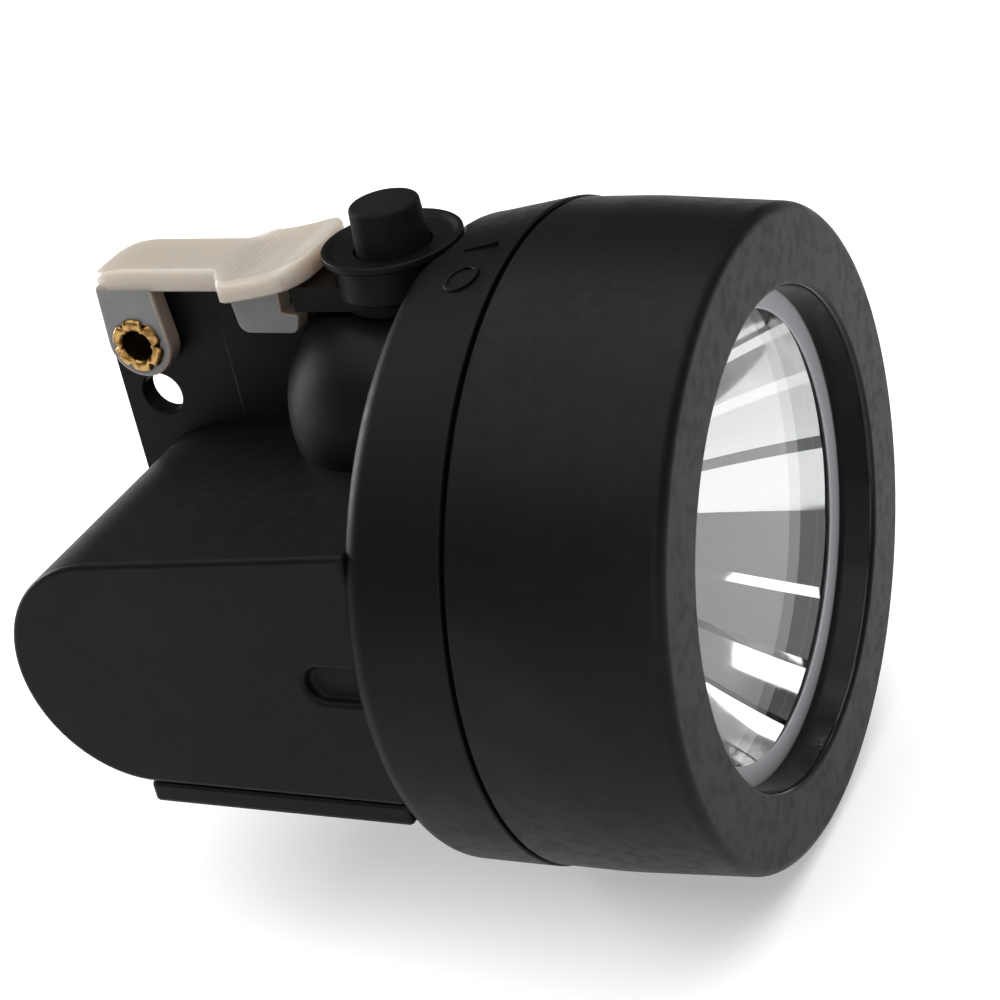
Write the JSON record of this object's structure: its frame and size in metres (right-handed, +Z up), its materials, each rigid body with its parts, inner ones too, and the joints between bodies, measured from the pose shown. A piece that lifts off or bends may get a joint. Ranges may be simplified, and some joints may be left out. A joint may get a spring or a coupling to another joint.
{
  "type": "miner's cap lamp",
  "caption": "Cordless miner's cap lamp: round head with recessed lens, D-shaped battery case, push button and a sprung cap clip on an upright bracket.",
  "frame": {"origin": "centre of the lamp's footprint, at the lowest point of the round head", "axes": "+X forward along the optical axis, out of the lens; +Z up towards the push button; +Y to the lamp's left"},
  "size_m": [0.076, 0.0704, 0.0733],
  "materials": {
    "black_housing": "moulded, satin matt with rubbed patches",
    "black_rubber": "matt",
    "clear_lens": "clear polycarbonate, polished",
    "grey_silicone": "satin, slightly translucent",
    "mirror_reflector": "vacuum metallised",
    "led_phosphor": "matt",
    "white_board": "matt",
    "aluminium": "turned",
    "steel": "bright",
    "brass": "rolled, bright",
    "cell_wrap": "shrink sleeve",
    "nickel": "rolled strip",
    "grey_plastic": "moulded",
    "green_board": "solder mask",
    "red_insulation": "extruded",
    "black_insulation": "extruded",
    "milky_plastic": "moulded, translucent"
  },
  "bodies": {
    "housing": {"front_bezel": "black_housing", "head_ring": "black_housing", "battery_case": "black_housing", "sole_cover": "black_housing", "bracket_plate": "black_housing", "switch_tower": "black_housing", "switch_housing": "black_housing", "switch_collar": "black_housing", "bezel_seal": "black_rubber", "lens": "clear_lens", "lens_gasket": "grey_silicone", "reflector": "mirror_reflector", "led_emitter": "led_phosphor", "led_board": "white_board", "heat_sink": "aluminium", "sole_screw_1": "steel", "sole_screw_2": "steel", "sole_screw_3": "steel", "sole_screw_4": "steel", "return_spring": "steel", "charge_contact_plus": "brass", "charge_contact_minus": "brass", "pivot_eyelet": "brass", "cell_1": "cell_wrap", "cell_2": "cell_wrap", "contact_strip_plus": "nickel", "contact_strip_minus": "nickel", "cell_cradle": "grey_plastic", "tact_switch": "grey_plastic", "protection_board": "green_board", "driver_board": "green_board", "battery_lead_red": "red_insulation", "led_lead_red": "red_insulation", "battery_lead_black": "black_insulation", "led_lead_black": "black_insulation"},
    "button": {"push_button": "black_rubber", "switch_plunger": "grey_plastic"},
    "clip": {"clip_lever": "milky_plastic"}
  },
  "joints": [
    {"name": "button_press", "type": "slide", "parent": "housing", "child": "button", "axis": [0, 0, -1], "range_m": [0, 0.0012], "stiffness_N_per_m": 1200, "springref_m": -0.0008, "deforming": ["return_spring"]},
    {"name": "clip_pivot", "type": "hinge", "parent": "housing", "child": "clip", "pos_m": [-0.03165, 0, 0.0588], "axis": [0, -1, 0], "range_deg": [0, 75]}
  ]
}
